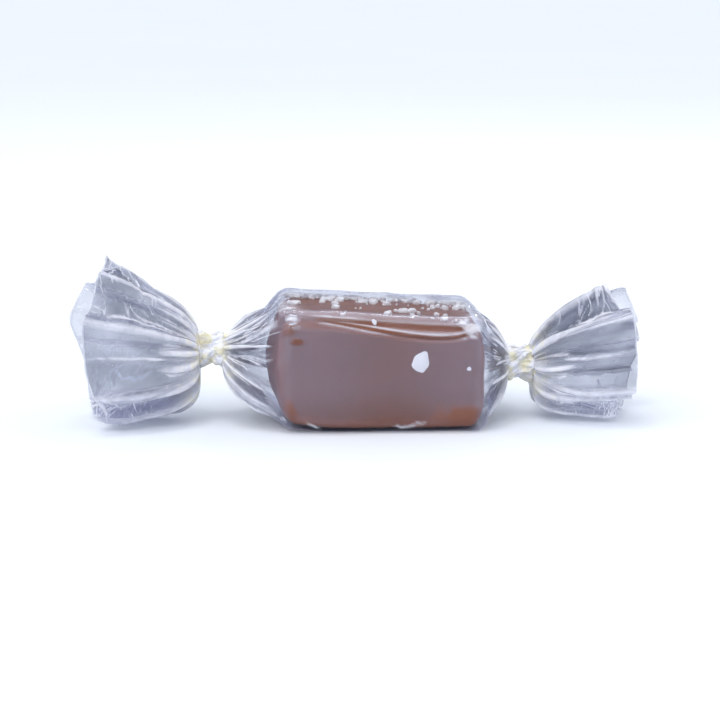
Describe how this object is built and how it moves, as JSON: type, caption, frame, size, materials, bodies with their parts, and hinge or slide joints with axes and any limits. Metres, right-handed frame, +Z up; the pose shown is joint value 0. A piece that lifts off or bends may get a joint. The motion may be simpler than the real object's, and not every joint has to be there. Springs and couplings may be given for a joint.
{
  "type": "wrapped caramel",
  "caption": "Hand-cut block of salted caramel in a clear cellophane wrap, twisted into a knot at each end with a pleated fan beyond it.",
  "frame": {"origin": "on the surface it lies on, under the middle of the bounding box", "axes": "+X along the twist axis, towards the smaller fan; +Y to the back, so -Y is the front shown; +Z up"},
  "size_m": [0.0811, 0.0234, 0.0231],
  "materials": {
    "caramel": "semi-gloss soft caramel with salt grains",
    "film": "clear glossy cellophane, creased"
  },
  "bodies": {
    "root": {"caramel": "caramel", "wrapper": "film"}
  },
  "joints": []
}
